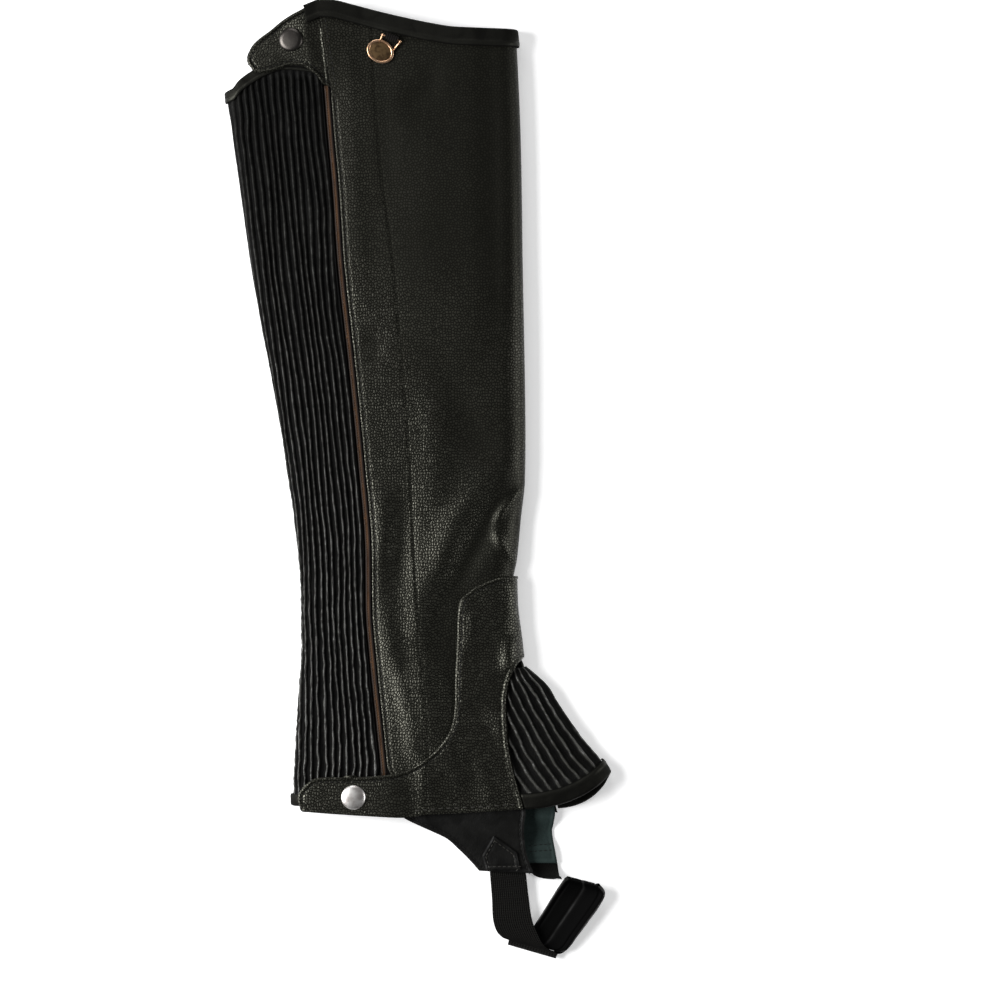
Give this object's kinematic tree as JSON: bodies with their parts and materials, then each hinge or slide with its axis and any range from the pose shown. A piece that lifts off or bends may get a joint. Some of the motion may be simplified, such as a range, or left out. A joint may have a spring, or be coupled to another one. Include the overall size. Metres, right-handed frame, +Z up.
{
  "type": "riding half chap",
  "caption": "Flat-lying black leather half chap: pebbled panel, gathered elastic back gusset, rear zip, snapped tabs, ankle fan and elastic foot strap.",
  "frame": {"origin": "centre of the bounding box's underside, on the surface that the half chap lies on", "axes": "+Y runs up the leg to the knee, +X to the shin, +Z up from the surface, through the outer side of the leg"},
  "size_m": [0.2036, 0.5038, 0.0179],
  "materials": {
    "pebbled_leather": "pebbled grain, low sheen, black",
    "gathered_leather": "fine grain gathered into pleats over elastic, black",
    "smooth_leather": "smooth, low sheen, black",
    "grey_green_split": "brushed split, grey green, matt",
    "woven_elastic": "ribbed woven elastic and ribbon, black, matt",
    "zip_tape_and_coil": "woven tape and nylon coil, dark brown",
    "nickelled_steel": "nickel plated, slightly dulled",
    "aged_copper": "copper plated, aged, with a polished rim"
  },
  "bodies": {
    "main": {"main_panel": "pebbled_leather", "back_gusset": "gathered_leather", "top_binding": "smooth_leather", "gusset_top_binding": "smooth_leather", "gusset_hem_binding": "smooth_leather", "zip_tape": "zip_tape_and_coil", "zip_coil": "zip_tape_and_coil", "zip_slider": "nickelled_steel", "top_tab": "pebbled_leather", "top_snap": "nickelled_steel", "foot_panel": "pebbled_leather", "foot_snap": "nickelled_steel", "ankle_gusset": "gathered_leather", "ankle_binding": "smooth_leather", "outer_drop": "smooth_leather", "inner_drop": "grey_green_split", "strap_patch": "smooth_leather", "strap_outer": "woven_elastic", "strap_pad": "smooth_leather", "strap_inner": "woven_elastic", "charm_loop": "woven_elastic"},
    "charm": {"charm": "aged_copper"}
  },
  "joints": [
    {"name": "charm_flip", "type": "hinge", "parent": "main", "child": "charm", "pos_m": [-0.01355, 0.23125, 0.01647], "axis": [-0.9357, 0.3529, 0], "range_deg": [0, 150]}
  ]
}
